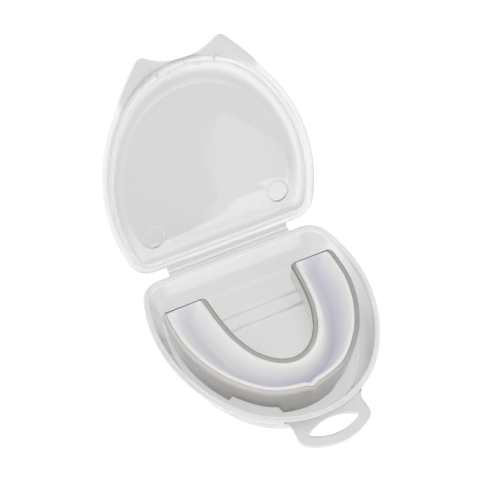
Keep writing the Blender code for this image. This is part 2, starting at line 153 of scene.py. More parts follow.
# Mouthguard
OUTER_ARCH = [(35.6, 17.0), (35.6, 26.0), (34.6, 35.0), (31.0, 46.0), (24.4, 56.8), (14.2, 65.8),
              (0.0, 69.2)]
INNER_ARCH = [(17.6, 17.0), (17.2, 23.0), (16.5, 29.5), (14.9, 38.0), (11.4, 46.6), (6.2, 52.4),
              (0.0, 54.6)]
ARCH_STEPS = 14
GUARD_LOW = 1.5
SHELL_LOW = 6.8
SHELL_FLOOR = SHELL_LOW + 1.4
ARM_TOP = 16.4
FRONT_RISE = 2.2
INNER_RISE = 1.4
SHELL_T = 1.8
LINER_GAP = 0.06
LINER_U = SHELL_T + LINER_GAP     # the liner's distance from the shell's edge
LEAN = 1.3
INNER_LEAN = 0.2
ARM_CORNER_R = 1.6
END_WALL = 0.5 / ARCH_STEPS / 6   # share of the arch taken by one arm's end wall

# Painted light and shade down the outsides of the shell's walls, from the lip to the foot: a dark line
# at the inner lip's edge, a paler inner wall, a lit outer lip and painted shade darkening towards the foot
INNER_PAINTED_SHADING = (0.0, -0.3, -0.8, 0.4, 1.0, 1.0, 1.0, 0.8, -0.6, -0.6, -0.6)
OUTER_PAINTED_SHADING = (0.7, 0.6, 0.4, 0.1, 0.0, -0.25, -0.5, -0.8, -0.95, -0.95, -0.95)


# ---------------------------------------------------------------- outlines

def polar(cx, cv, radius, degrees):
    angle = math.radians(degrees)
    return Vector((cx + radius * math.cos(angle), cv + radius * math.sin(angle)))


def arc(cx, cv, radius, start, end, steps):
    return [polar(cx, cv, radius, start + (end - start) * i / steps) for i in range(steps + 1)]


def ray_circle(degrees, centre, radius, far):
    """Where a ray from the middle of the front arc meets a circle."""
    way = polar(0.0, 0.0, 1.0, degrees)
    offset = FRONT_CENTRE - centre
    half = way.dot(offset)
    root = math.sqrt(max(half * half - offset.length_squared + radius * radius, 0.0))
    reach = -half + root if far else -half - root
    return FRONT_CENTRE + way * reach


def ray_angle(point):
    """Direction of a point from the middle of the front arc, in degrees."""
    return math.degrees(math.atan2(point[1] - FRONT_CENTRE_V, point[0]))


# The side's arc touches the front arc and the corner's arc; joins are angles about the arcs' centres.
RISE = FRONT_CENTRE_V - WIDEST_V
SIDE_R = (HALF_WIDTH ** 2 + RISE ** 2 - FRONT_R ** 2) / (2 * (HALF_WIDTH - FRONT_R))
SIDE_CENTRE = Vector((HALF_WIDTH - SIDE_R, WIDEST_V))
DROP = WIDEST_V - BACK_EDGE - CORNER_R
CORNER_X = SIDE_CENTRE.x + math.sqrt((SIDE_R - CORNER_R) ** 2 - DROP ** 2)
CORNER_CENTRE = Vector((CORNER_X, BACK_EDGE + CORNER_R))
FRONT_JOIN = math.degrees(math.atan2(RISE, -SIDE_CENTRE.x))
CORNER_JOIN = math.degrees(math.atan2(-DROP, CORNER_CENTRE.x - SIDE_CENTRE.x))

# The valley's arc and the ear's straight line both touch the round tip.
EAR_DROP = EAR_TIP.y - VALLEY_V
VALLEY_R = (EAR_TIP.x ** 2 + EAR_DROP ** 2 - EAR_TIP_R ** 2) / (2 * (EAR_DROP + EAR_TIP_R))
VALLEY_CENTRE = Vector((0.0, VALLEY_V + VALLEY_R))
TO_VALLEY = VALLEY_CENTRE - EAR_TIP
TIP_START = math.degrees(math.atan2(TO_VALLEY.y, TO_VALLEY.x))
TO_TIP = EAR_TIP - SIDE_CENTRE
TIP_END = math.degrees(math.atan2(TO_TIP.y, TO_TIP.x) - math.acos((SIDE_R - EAR_TIP_R) / TO_TIP.length))
EAR_LINE = (polar(EAR_TIP.x, EAR_TIP.y, EAR_TIP_R, TIP_END),
            polar(SIDE_CENTRE.x, SIDE_CENTRE.y, SIDE_R, TIP_END))


def ear_point(degrees):
    """The lid's outer edge at a ray: valley, round tip, then the ear's line with a slight bulge."""
    if degrees >= ray_angle(polar(EAR_TIP.x, EAR_TIP.y, EAR_TIP_R, TIP_START)):
        return ray_circle(degrees, VALLEY_CENTRE, VALLEY_R, False)
    if degrees >= ray_angle(EAR_LINE[0]):
        return ray_circle(degrees, EAR_TIP, EAR_TIP_R, True)
    start, end = EAR_LINE
    way = polar(0.0, 0.0, 1.0, degrees)
    run = end - start
    offset = start - FRONT_CENTRE
    reach = (offset.x * run.y - offset.y * run.x) / (way.x * run.y - way.y * run.x)
    first, last = ray_angle(start), ray_angle(end)
    share = min(max((first - degrees) / (first - last), 0.0), 1.0)
    return FRONT_CENTRE + way * (reach + EAR_BULGE * math.sin(math.pi * share))


def make_stations():
    """Stations of every ring's right half: rays on the front, then the side, the corner and the back.

    The rays meet the ends of the plug rib's notches and bumps, the front arc, the ear's tip and its line.
    """
    marks = [0.0, NOTCH_HALF, NOTCH_HALF + SOFT_EDGE]
    for edge in (NOTCH_X - NOTCH_HALF, NOTCH_X + NOTCH_HALF, BUMP_X - BUMP_HALF, BUMP_X + BUMP_HALF):
        marks += [edge - SOFT_EDGE, edge + SOFT_EDGE]
    rays = [math.degrees(math.acos(x / RIB_R)) for x in marks]
    rays += [90.0 - 1.2 * i for i in range(1, 17)]
    rays += [ray_angle(p) for p in arc(EAR_TIP.x, EAR_TIP.y, EAR_TIP_R, TIP_START, TIP_END, 14)]
    first, last = ray_angle(EAR_LINE[0]), ray_angle(EAR_LINE[1])
    rays += [first + (last - first) * i / 16 for i in range(1, 16)]
    kept = []
    for ray in sorted(rays, reverse=True):
        if not kept or kept[-1] - ray > LEAST_TURN:
            kept.append(ray)
    stations = [("ray", ray) for ray in kept]
    stations += [("side", TIP_END + (CORNER_JOIN - TIP_END) * i / 30) for i in range(31)]
    stations += [("corner", CORNER_JOIN + (-90.0 - CORNER_JOIN) * i / 14) for i in range(1, 15)]
    stations += [("back", i / 12) for i in range(1, 13)]
    return stations


STATIONS = make_stations()


def rim_point(station, inset):
    """Point of the rounded D at a station, moved inwards by inset."""
    kind, value = station
    if kind == "ray":
        if value >= FRONT_JOIN:
            return polar(0.0, FRONT_CENTRE_V, FRONT_R - inset, value)
        return ray_circle(value, SIDE_CENTRE, SIDE_R - inset, True)
    if kind == "side":
        return polar(SIDE_CENTRE.x, SIDE_CENTRE.y, SIDE_R - inset, value)
    if kind == "corner":
        return polar(CORNER_CENTRE.x, CORNER_CENTRE.y, CORNER_R - inset, value)
    return Vector((CORNER_CENTRE.x * (1.0 - value), BACK_EDGE + inset))


def rim_half(inset, back=None, front=None):
    """Right half of the rounded D; back and front move those two edges."""
    low = BACK_EDGE + inset
    high = FRONT_CENTRE_V + FRONT_R - inset
    new_low = low if back is None else back
    new_high = high if front is None else front
    scale = (new_high - new_low) / (high - low)
    points = [rim_point(station, inset) for station in STATIONS]
    return [Vector((p.x, new_low + (p.y - low) * scale)) for p in points]


def edge_half(offset):
    """Right half of the lid's outer edge with its ear, moved inwards by offset."""
    points = []
    for kind, value in STATIONS:
        points.append(ear_point(value) if kind == "ray" else rim_point((kind, value), 0.0))
    moved = []
    for i, point in enumerate(points):
        before = points[i - 1] if i > 0 else Vector((-points[1].x, points[1].y))
        after = points[i + 1] if i < len(points) - 1 else Vector((-points[-2].x, points[-2].y))
        along = (after - before).normalized()
        moved.append(point + Vector((along.y, -along.x)) * offset)
    return moved


def mirrored(half):
    """Whole outline from its right half."""
    return half + [Vector((-p.x, p.y)) for p in reversed(half[1:-1])]


def flat_ring(half, z):
    return [(p.x, -p.y, z) for p in mirrored(half)]


def shrunk(half, centre_v, share):
    """The half outline drawn towards its middle."""
    middle = Vector((0.0, centre_v))
    return [middle + (p - middle) * share for p in half]


def soft_step(value, low, high):
    share = min(max((value - low) / (high - low), 0.0), 1.0)
    return share * share * (3.0 - 2.0 * share)


def smoothed(keys, steps):
    """Catmull-Rom values through rows of numbers."""
    rows = [Vector(key) for key in keys]
    rows = [2 * rows[0] - rows[1]] + rows + [2 * rows[-1] - rows[-2]]
    out = []
    for i in range(1, len(rows) - 2):
        p0, p1, p2, p3 = rows[i - 1:i + 3]
        for k in range(steps):
            t = k / steps
            bend = (2 * p0 - 5 * p1 + 4 * p2 - p3) * t * t + (3 * p1 - p0 - 3 * p2 + p3) * t ** 3
            out.append((2 * p1 + (p2 - p0) * t + bend) * 0.5)
    out.append(rows[-2])
    return out


# ---------------------------------------------------------------- mesh helpers

def spread(value, count):
    """The value itself if it is a list, else a list that repeats it."""
    return value if isinstance(value, list) else [value] * count


def add_row(bm, points, milk_and_shade):
    """Vertices at the points; milk is one value or a list with one for each point."""
    layer = bm.verts.layers.float["milk_and_shade"]
    row = [bm.verts.new(point) for point in points]
    for vert, amount in zip(row, spread(milk_and_shade, len(row))):
        vert[layer] = amount
    return row


def join_rows(bm, here, there):
    """Faces between two closed rows; a row of one vertex is a tip."""
    if len(here) == 1 or len(there) == 1:
        tip, ring = (here[0], there) if len(here) == 1 else (there[0], here)
        for i in range(len(ring)):
            bm.faces.new((tip, ring[i], ring[(i + 1) % len(ring)]))
        return
    for i in range(len(here)):
        j = (i + 1) % len(here)
        bm.faces.new((here[i], here[j], there[j], there[i]))


def loft(rings):
    """Skins closed rings, each a pair of points and milk. Returns the mesh and its rows of vertices."""
    bm = bmesh.new()
    bm.verts.layers.float.new("milk_and_shade")
    rows = [add_row(bm, points, milk_and_shade) for points, milk_and_shade in rings]
    for here, there in zip(rows, rows[1:]):
        join_rows(bm, here, there)
    return bm, rows


def fill(bm, rows):
    """Flat face bounded by closed rows."""
    edges = []
    for row in rows:
        edges += [bm.edges.get((row[i], row[(i + 1) % len(row)])) for i in range(len(row))]
    bmesh.ops.triangle_fill(bm, use_beauty=True, edges=edges)


def to_object(name, bm, place, material):
    """Turns a bmesh, drawn in millimetres, into a smooth-shaded object at its place."""
    bmesh.ops.remove_doubles(bm, verts=bm.verts, dist=1e-4)
    bmesh.ops.recalc_face_normals(bm, faces=bm.faces)
    mesh = bpy.data.meshes.new(name)
    bm.to_mesh(mesh)
    bm.free()
    mesh.transform(place @ Matrix.Scale(MM, 4))
    mesh.shade_smooth()
    mesh.materials.append(material)
    obj = bpy.data.objects.new(name, mesh)
    bpy.context.scene.collection.objects.link(obj)
    return obj


# ---------------------------------------------------------------- materials

def grey(value):
    return (value, value, value)


def feed(tree, target, inputs):
    """Sets a node's inputs, each from a value or from another node's output."""
    for key, value in inputs.items():
        if isinstance(value, bpy.types.NodeSocket):
            tree.links.new(value, target.inputs[key])
        else:
            target.inputs[key].default_value = value


def node(tree, kind, inputs, **settings):
    """Adds a node with its settings and inputs."""
    made = tree.nodes.new(kind)
    for key, value in settings.items():
        setattr(made, key, value)
    feed(tree, made, inputs)
    return made


def plastic(name, deep, dull, milky, ior, clear, cloudy, roughness, coat, bump, grain):
    """Moulded plastic with a faint flow grain.

    By the mesh's milk_and_shade value, which holds milkiness and painted light and shade, it runs from deep
    at -1, over dull and clear at 0, to milky and cloudy at 1.
    """
    material = bpy.data.materials.new(name)
    material.use_nodes = True
    tree = material.node_tree
    shader = tree.nodes["Principled BSDF"]
    feed(tree, shader, {"IOR": ior, "Coat Weight": coat, "Coat Roughness": 0.0})

    place = node(tree, "ShaderNodeTexCoord", {}).outputs["Object"]
    flow = node(tree, "ShaderNodeTexNoise", {"Vector": place, "Scale": 38.0, "Detail": 3.0}).outputs["Fac"]
    fine = node(tree, "ShaderNodeTexNoise", {"Vector": place, "Scale": grain, "Detail": 2.0}).outputs["Fac"]
    # milkiness of the plastic and painted light and shade, stored on the vertices
    milk_and_shade = node(tree, "ShaderNodeAttribute", {}, attribute_name="milk_and_shade").outputs["Fac"]

    sway = node(tree, "ShaderNodeMath", {0: flow, 1: 0.16, 2: -0.08}, operation="MULTIPLY_ADD").outputs[0]
    above = node(tree, "ShaderNodeMath", {0: milk_and_shade, 1: sway}, operation="ADD", use_clamp=True).outputs[0]
    below = node(tree, "ShaderNodeMath", {0: milk_and_shade, 1: -1.0}, operation="MULTIPLY", use_clamp=True).outputs[0]
    pale = {"Factor": above, "A": (*dull, 1.0), "B": (*milky, 1.0)}
    pale_colour = node(tree, "ShaderNodeMix", pale, data_type="RGBA").outputs["Result"]
    sunk = {"Factor": below, "A": pale_colour, "B": (*deep, 1.0)}
    colour = node(tree, "ShaderNodeMix", sunk, data_type="RGBA").outputs["Result"]
    feed(tree, shader, {"Base Color": colour})

    if clear > 0.0:
        haze = node(tree, "ShaderNodeMapRange", {"Value": above, "To Min": clear, "To Max": cloudy})
        feed(tree, shader, {"Transmission Weight": haze.outputs["Result"]})
    patchy = {"Value": flow, "To Min": roughness * 0.85, "To Max": roughness * 1.15}
    rough = node(tree, "ShaderNodeMapRange", patchy)
    relief = node(tree, "ShaderNodeBump", {"Height": fine, "Strength": bump, "Distance": 0.0001})
    feed(tree, shader, {"Roughness": rough.outputs["Result"], "Normal": relief.outputs["Normal"]})
    return material


# The case's index of refraction is lower than polypropylene's, so that its thin walls stay light.
CASE = plastic("case_polypropylene", deep=grey(0.35), dull=grey(0.93), milky=grey(0.92), ior=1.28,
               clear=0.9, cloudy=0.2, roughness=0.38, coat=0.8, bump=0.12, grain=900.0)
MARKS = plastic("case_witness_marks", deep=grey(0.45), dull=grey(0.78), milky=grey(0.95), ior=1.49,
                clear=0.0, cloudy=0.0, roughness=0.38, coat=0.8, bump=0.12, grain=900.0)
SHELL = plastic("guard_smoky_shell", deep=(0.07, 0.06, 0.055), dull=(0.66, 0.625, 0.59),
                milky=(0.84, 0.82, 0.79), ior=1.49, clear=0.4, cloudy=0.1, roughness=0.16, coat=0.6,
                bump=0.10, grain=700.0)
LINER = plastic("guard_white_liner", deep=(0.5, 0.5, 0.62), dull=(0.75, 0.75, 0.845),
                milky=(0.91, 0.90, 0.89), ior=1.49, clear=0.0, cloudy=0.0, roughness=0.42, coat=0.25,
                bump=0.15, grain=1400.0)


# ---------------------------------------------------------------- case, tray

def wall_light_and_shade(x, v, z):
    """The tray's inner wall: painted shade greys it towards the floor, painted light makes it palest near
    the rim and on the band below the hinge.
    """
    near_hinge = 1.0 - soft_step(v, 9.0, 14.0)
    in_band = 1.0 - soft_step(abs(x), BAND_HALF_LENGTH - 1.0, BAND_HALF_LENGTH + 1.0)
    above_foot = soft_step(z, BAND_FOOT - 0.5, BAND_FOOT + 0.5)
    side_grey = soft_step(-z, 9.0, -TRAY_FLOOR) * (1.0 - near_hinge)
    back_grey = soft_step(-z, 1.0, 2.5) * near_hinge * (1.0 - in_band * above_foot)
    greyness = side_grey + back_grey
    # painted shade lower down and near the hinge, painted light near the rim
    return FLOOR_MILK * greyness - 0.2 * near_hinge * (1.0 - greyness) + 0.5 * soft_step(z, -3.0, 0.0)


def tray_rings():
    """From the floor's edge up the inside, over the rim bead and flange, and down the outside."""
    # inset and height up the inner wall, then inset, height and milk
    wall = [(8.7, TRAY_FLOOR), (8.0, -14.74), (7.15, -14.35), (6.35, -13.3), (5.7, -11.4), (3.2, -4.4),
            (2.4, -2.2), (2.25, -0.7)]
    bead = [(2.2, -0.35, 0.9), (2.08, -0.2, 1.0), (1.9, -0.15, 1.0), (1.45, -0.15, 1.0), (1.25, -0.2, 1.0),
            (1.16, -0.32, 0.9), (1.1, -0.5, 0.9)]
    flange = [(1.0, -0.55, 0.9), (0.3, -0.55, 1.0), (0.1, -0.6, 1.0), (0.0, -0.78, 1.0), (0.0, -1.5, 0.9),
              (0.1, -1.7, 0.7), (0.3, -1.75, 0.4), (0.85, -1.75, 0.2), (1.0, -1.85, 0.1)]
    outside = [(1.08, -2.2, 0.0), (2.0, -5.0, 0.0), (3.2, -8.6, 0.0), (4.7, -13.0, 0.0), (5.05, -14.2, 0.0),
               (5.5, -15.1, 0.0), (6.2, -15.75, 0.0), (7.1, UNDERSIDE, 0.0), (8.4, UNDERSIDE, 0.0)]
    rings = [(flat_ring(rim_half(8.76), TRAY_FLOOR), FLOOR_MILK)]
    for inset, z in smoothed(wall, 6):
        points = flat_ring(rim_half(inset), z)
        rings.append((points, [wall_light_and_shade(x, -y, z) for x, y, z in points]))
    for inset, z, milk_and_shade in bead + flange + outside:
        rings.append((flat_ring(rim_half(inset), z), milk_and_shade))
    rings.append((flat_ring(shrunk(rim_half(8.4), TRAY_CENTRE_V, 0.5), UNDERSIDE), 0.0))
    rings.append(([(0.0, -TRAY_CENTRE_V, UNDERSIDE)], 0.0))
    return rings


def rib_ring(offset):
    """Outline of the cross rib on the tray's floor, moved outwards by offset."""
    radius = RIB_CORNER_R + offset
    x = RIB_HALF_LENGTH - RIB_CORNER_R
    low, high = RIB_V[0] + RIB_CORNER_R, RIB_V[1] - RIB_CORNER_R
    points = []
    for quarter, (cx, cv) in enumerate(((x, high), (-x, high), (-x, low), (x, low))):
        points += arc(cx, cv, radius, 90.0 * quarter, 90.0 * (quarter + 1), 6)
    return points


def case_tray():
    """Tray whose flat floor, with the cross rib on it, closes the lofted wall."""
    # offset from the rib's outline, height above the floor, milk
    rib = ((1.4, 0.0, FLOOR_MILK), (1.1, 0.001, 1.0), (0.6, 0.02, 1.0), (0.1, 0.055, 1.0), (-0.4, 0.08, 1.0),
           (-0.7, 0.08, FLOOR_MILK))
    bm, wall_rows = loft(tray_rings())
    rib_rows = []
    for offset, height, milk_and_shade in rib:
        points = [(p.x, -p.y, TRAY_FLOOR + height) for p in rib_ring(offset)]
        rib_rows.append(add_row(bm, points, milk_and_shade))
    for here, there in zip(rib_rows, rib_rows[1:]):
        join_rows(bm, here, there)
    fill(bm, [wall_rows[0], rib_rows[0]])
    fill(bm, [rib_rows[-1]])
    return to_object("case_tray", bm, BASE_FRAME, CASE)


tray = case_tray()
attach(tray, "base")
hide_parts("base_tray", "tray_rib")


# ---------------------------------------------------------------- case, lid

def lid_ring(half, heights, milk_and_shade):
    """Ring of the lid from its right half; heights and milk are one value or one for each point."""
    right = [(p.x, -p.y, z) for p, z in zip(half, spread(heights, len(half)))]
    left = [(-x, y, z) for x, y, z in reversed(right[1:-1])]
    milks = spread(milk_and_shade, len(half))
    return right + left, milks + list(reversed(milks[1:-1]))


def lid_inside():
    """Dished floor, fillet and sloping wall; the wall is painted paler towards the rim and near the hinge,
    painted light against the shade that falls there.
    """
    rings = [([(0.0, -LID_CENTRE_V, LID_DEPTH + 0.15)], LID_MILK)]
    for share, sag in ((0.25, 0.14), (0.5, 0.11), (0.75, 0.06), (0.9, 0.02), (0.98, 0.002)):
        half = shrunk(rim_half(*LID_FLOOR), LID_CENTRE_V, share)
        rings.append(lid_ring(half, LID_DEPTH + sag, LID_MILK))
    # inset, back edge, front edge, height
    wall = [(*LID_FLOOR, LID_DEPTH), (8.0, LID_BACK + 2.2, 65.0, 6.95), (6.8, LID_BACK + 1.1, 66.8, 6.5),
            (5.7, LID_BACK + 0.5, 69.2, 5.2), (4.9, LID_BACK + 0.3, 72.0, 3.1),
            (4.3, LID_BACK + 0.1, 74.0, 1.3), (4.12, LID_BACK + 0.02, 74.38, 0.2)]
    for inset, back, front, z in smoothed(wall, 3):
        half = rim_half(inset, back, front)
        # painted light: paler up the wall towards the rim, and paler on the hinge side
        base = 0.9 + (LID_MILK - 0.9) * soft_step(z, 0.0, 6.6)
        near_hinge = [min(max(1.3 - (p.y - LID_BACK) / 13.0, 0.0), 1.0) for p in half]
        rings.append(lid_ring(half, z, [min(base + 0.3 * share, 1.0) for share in near_hinge]))
    return rings


def rib_x(station):
    """How far to the side a station lies on the plug rib; beyond the front arc there are no features."""
    kind, value = station
    return RIB_R * math.cos(math.radians(value)) if kind == "ray" else FRONT_R


def feature_share(x, centre, half):
    """1 inside a notch or a bump, 0 outside it, with a short run at its ends."""
    return min(max((half + SOFT_EDGE - abs(abs(x) - centre)) / (2 * SOFT_EDGE), 0.0), 1.0)


def notched(z):
    """The plug rib's height z at every station, back at the flange in the notches."""
    heights = []
    for station in STATIONS:
        x = rib_x(station)
        notch = max(feature_share(x, 0.0, NOTCH_HALF), feature_share(x, NOTCH_X, NOTCH_HALF))
        heights.append(FLANGE_FACE + (z - FLANGE_FACE) * (1.0 - notch))
    return heights


def plug_rib():
    """Rib round the lid's rim: its inner side with the snap bumps, its crest and its outer side."""
    bulges = [BUMP_REACH * feature_share(rib_x(station), BUMP_X, BUMP_HALF) for station in STATIONS]
    rings = []
    for share, z in ((0.0, 0.0), (0.85, -0.1), (1.0, -0.2), (1.0, -0.4), (0.6, -0.5), (0.0, -0.55)):
        insets = [LID_RIM_INSET + share * bulge for bulge in bulges]
        half = [rim_point(station, inset) for station, inset in zip(STATIONS, insets)]
        rings.append(lid_ring(half, notched(z), 0.75))
    # inset, height, milk
    crest = ((4.06, -0.7, 0.8), (3.9, -0.82, 0.85), (3.3, -0.85, 0.85), (2.8, -0.82, 0.85),
             (2.6, -0.7, 0.85), (2.45, -0.5, 0.8), (2.3, -0.2, 0.8), (2.15, 0.05, 0.8))
    for inset, z, milk_and_shade in crest:
        rings.append(lid_ring(rim_half(inset), notched(z), milk_and_shade))
    rings.append(lid_ring(rim_half(2.0), FLANGE_FACE - 0.02, 0.8))
    return rings


def flange_and_ears():
    """Flange, greyer where it widens into the ears."""
    foot = ray_angle(EAR_LINE[1])
    ears = []
    for kind, value in STATIONS:
        ears.append(soft_step(value, foot - 1.0, foot + 11.0) if kind == "ray" else 0.0)
    # offset from the edge, height, milk on the sides, milk on the ears
    edge = ((1.0, 0.15, 0.2, -0.6), (0.36, 0.15, 0.6, -0.55), (0.3, 0.15, 0.9, -0.4), (0.1, 0.2, 1.0, -0.1),
            (0.0, 0.4, 1.0, 0.1), (0.0, 1.1, 1.0, 0.1), (0.1, 1.3, 0.9, 0.0), (0.3, 1.35, 0.6, -0.3),
            (0.36, 1.35, 0.3, -0.4))
    rings = [lid_ring(rim_half(1.8), FLANGE_FACE, [-0.1 - 0.52 * share for share in ears])]
    for offset, z, milk_and_shade, ear_milk in edge:
        rings.append(lid_ring(edge_half(offset), z, [milk_and_shade + (ear_milk - milk_and_shade) * share for share in ears]))
    rings.append(lid_ring(rim_half(2.42), 1.36, 0.1))
    return rings


def lid_outside():
    """Outer wall and roof."""
    # inset, back edge, front edge, height
    wall = [(2.5, BACK_EDGE + 2.5, 76.0, 1.6), (3.4, LID_BACK - 0.9, 73.8, 3.4),
            (4.7, LID_BACK - 0.7, 70.4, 6.2), (6.4, LID_BACK + 0.2, 67.4, 7.85),
            (7.6, LID_BACK + 1.6, 65.4, LID_ROOF), (*LID_FLOOR, LID_ROOF)]
    rings = []
    for inset, back, front, z in smoothed(wall, 3):
        rings.append(lid_ring(rim_half(inset, back, front), z, 0.0))
    rings.append(lid_ring(shrunk(rim_half(*LID_FLOOR), LID_CENTRE_V, 0.5), LID_ROOF, 0.0))
    rings.append(([(0.0, -LID_CENTRE_V, LID_ROOF)], 0.0))
    return rings


def case_lid():
    """Lid as one skin, from the middle of its floor round the rim to the middle of its roof."""
    bm, rows = loft(lid_inside() + plug_rib() + flange_and_ears() + lid_outside())
    return to_object("case_lid", bm, LID_FRAME, CASE)


lid = case_lid()
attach(lid, "lid")
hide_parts("lid_shell", "lid_ear_left", "lid_ear_right", "plug_rib_left", "plug_rib_right",
            "snap_tongue_left", "snap_tongue_right", "snap_bump_left", "snap_bump_right")


# ---------------------------------------------------------------- case, carry loop

def plate_levels(z_low, z_high, edge, milk_face, milk_edge):
    """Rounded edge of a plate from its top to its underside: (inset, height, milk)."""
    corner = [(1.25, 0.0, milk_face), (1.0, 0.0, milk_face), (0.3, 0.3, milk_edge), (0.0, 1.0, milk_edge)]
    levels = [(edge * inset, z_high - edge * drop, milk_and_shade) for inset, drop, milk_and_shade in corner]
    levels += [(edge * inset, z_low + edge * drop, milk_and_shade) for inset, drop, milk_and_shade in reversed(corner)]
    return levels


def inset_ring(outline, inset, z):
    """The outline moved to its left by inset, at a height."""
    ring = []
    for i, point in enumerate(outline):
        along = (outline[(i + 1) % len(outline)] - outline[i - 1]).normalized()
        moved = point + Vector((-along.y, along.x)) * inset
        ring.append((moved.x, -moved.y, z))
    return ring


def bevelled_plate(name, outlines, levels, place, material):
    """Flat plate between an outer outline and its holes. The plate is on the left of each outline."""
    bm = bmesh.new()
    bm.verts.layers.float.new("milk_and_shade")
    tops = []
    undersides = []
    for outline in outlines:
        rows = [add_row(bm, inset_ring(outline, inset, z), milk_and_shade) for inset, z, milk_and_shade in levels]
        for here, there in zip(rows, rows[1:]):
            join_rows(bm, here, there)
        tops.append(rows[0])
        undersides.append(rows[-1])
    fill(bm, tops)
    fill(bm, undersides)
    return to_object(name, bm, place, material)


def loop_outline():
    """Carry loop: round front, round corners, fillets, and a root along the edge of the flange."""
    centre_v = LOOP_FRONT_V - LOOP_FRONT_R
    corner_x = LOOP_HALF_WIDTH - LOOP_CORNER_R
    corner_v = centre_v + math.sqrt((LOOP_FRONT_R - LOOP_CORNER_R) ** 2 - corner_x ** 2)
    corner_join = math.degrees(math.atan2(corner_v - centre_v, corner_x))
    root_r = FRONT_R + LOOP_SEAM
    fillet_x = LOOP_HALF_WIDTH + LOOP_FILLET_R - LOOP_OVERLAP
    fillet_v = FRONT_CENTRE_V + math.sqrt((root_r + LOOP_FILLET_R) ** 2 - fillet_x ** 2)
    root = math.degrees(math.atan2(fillet_v - FRONT_CENTRE_V, fillet_x))
    right = arc(0.0, centre_v, LOOP_FRONT_R, 90.0, corner_join, 22)
    right += arc(corner_x, corner_v, LOOP_CORNER_R, corner_join, 0.0, 12)[1:]
    right += arc(fillet_x, fillet_v, LOOP_FILLET_R, 180.0, 180.0 + root - LOOP_FILLET_STOP, 12)
    right += arc(0.0, FRONT_CENTRE_V, root_r, root + LOOP_ROOT_START, 90.0, 24)
    return list(reversed(mirrored(right)))


def slot_outline():
    """Lens-shaped slot with small round tips."""
    chord = SLOT_HALF_LENGTH - SLOT_TIP_R
    rise = SLOT_HALF_HEIGHT - SLOT_TIP_R
    slot_r = (chord ** 2 + rise ** 2) / (2 * rise)
    opening = math.degrees(math.asin(chord / slot_r))
    edge_r = slot_r + SLOT_TIP_R
    points = arc(0.0, SLOT_V + rise - slot_r, edge_r, 90.0 - opening, 90.0 + opening, 26)
    points += arc(-chord, SLOT_V, SLOT_TIP_R, 90.0 + opening, 270.0 - opening, 8)[1:-1]
    points += arc(0.0, SLOT_V - rise + slot_r, edge_r, 270.0 - opening, 270.0 + opening, 26)
    points += arc(chord, SLOT_V, SLOT_TIP_R, opening - 90.0, 90.0 - opening, 8)[1:-1]
    return list(reversed(points))


carry = bevelled_plate("case_carry_loop", [loop_outline(), slot_outline()],
                       plate_levels(LOOP_TOP - LOOP_T, LOOP_TOP, LOOP_EDGE, milk_face=-0.42, milk_edge=0.8),
                       BASE_FRAME, CASE)
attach(carry, "base")
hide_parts("carry_loop")


# ---------------------------------------------------------------- case, living hinge

def hinge_strip():
    """Living hinge at rest: a grooved leaf along each rim and a thin film between the two."""
    # v, depth of the inner face, depth of the outer face, milk_and_shade: painted shade darkens the grooves
    leaf = [(1.68, 0.15, 1.15, 0.6), (1.58, 0.2, 1.17, -0.9), (1.42, 0.25, 1.17, -1.0),
            (1.28, 0.15, 1.17, -0.2), (0.98, 0.15, 1.15, -0.2), (0.84, 0.26, 1.06, -1.0),
            (0.68, 0.26, 0.9, -1.0), (0.54, 0.15, 0.6, 0.9), (0.25, 0.03, 0.3, 1.0), (0.1, -0.07, 0.2, 1.0)]
    to_lid = Matrix.Rotation(math.radians(-OPEN_ANGLE), 3, "X")
    halfway = Matrix.Rotation(math.radians(-OPEN_ANGLE / 2), 3, "X")
    inner = [(Vector((0.0, -v, -z)), milk_and_shade) for v, z, _, milk_and_shade in leaf]
    outer = [(Vector((0.0, -v, -z)), milk_and_shade / 2) for v, _, z, milk_and_shade in leaf]
    inner.append((halfway @ Vector((0.0, -0.12, 0.0)), 1.0))
    outer.append((halfway @ Vector((0.0, 0.15, 0.0)), 0.5))
    inner += [(to_lid @ Vector((0.0, -v, z)), milk_and_shade) for v, z, _, milk_and_shade in reversed(leaf)]
    outer += [(to_lid @ Vector((0.0, -v, z)), milk_and_shade / 2) for v, _, z, milk_and_shade in reversed(leaf)]
    profile = inner + list(reversed(outer))
    milks = [milk_and_shade for _, milk_and_shade in profile]
    rings = []
    for share in (-1.0, -0.995, -0.5, 0.0, 0.5, 0.995, 1.0):
        x = share * HINGE_HALF_LENGTH
        rings.append(([(x, point.y, point.z) for point, _ in profile], milks))
    bm, rows = loft(rings)
    last = len(profile) - 1
    for row in (rows[0], rows[-1]):
        for i in range(len(inner) - 1):
            bm.faces.new((row[i], row[i + 1], row[last - i - 1], row[last - i]))
    obj = to_object("case_hinge", bm, BASE_FRAME, CASE)
    start = HINGE + Vector((0.0, -0.4, -0.25)) * MM
    end = HINGE + (to_lid @ Vector((0.0, -0.4, 0.25))) * MM
    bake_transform(obj, "base", "lid", start=tuple(start), end=tuple(end))
    return obj


hinge = hinge_strip()
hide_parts("hinge_leaf_base", "hinge_leaf_lid", "hinge_film")


# ---------------------------------------------------------------- lid floor marks

def ring_mark(name, x, v, radius, half_width, height, milk_and_shade):
    """Thin raised witness ring on the lid's floor, sunk into it by a hair."""
    foot = LID_DEPTH + 0.025
    # across and up, as shares of the half width and the height
    profile = [(-1.0, 0.0), (-0.6, 0.8), (0.0, 1.0), (0.6, 0.8), (1.0, 0.0)]
    steps = 48
    rings = []
    for i in range(steps):
        angle = 2 * math.pi * i / steps
        ring = []
        for across, rise in profile:
            reach = radius + across * half_width
            ring.append((x + reach * math.cos(angle), -v + reach * math.sin(angle), foot - rise * height))
        rings.append((ring, milk_and_shade))
    bm, rows = loft(rings)
    join_rows(bm, rows[-1], rows[0])
    return to_object(name, bm, LID_FRAME, MARKS)


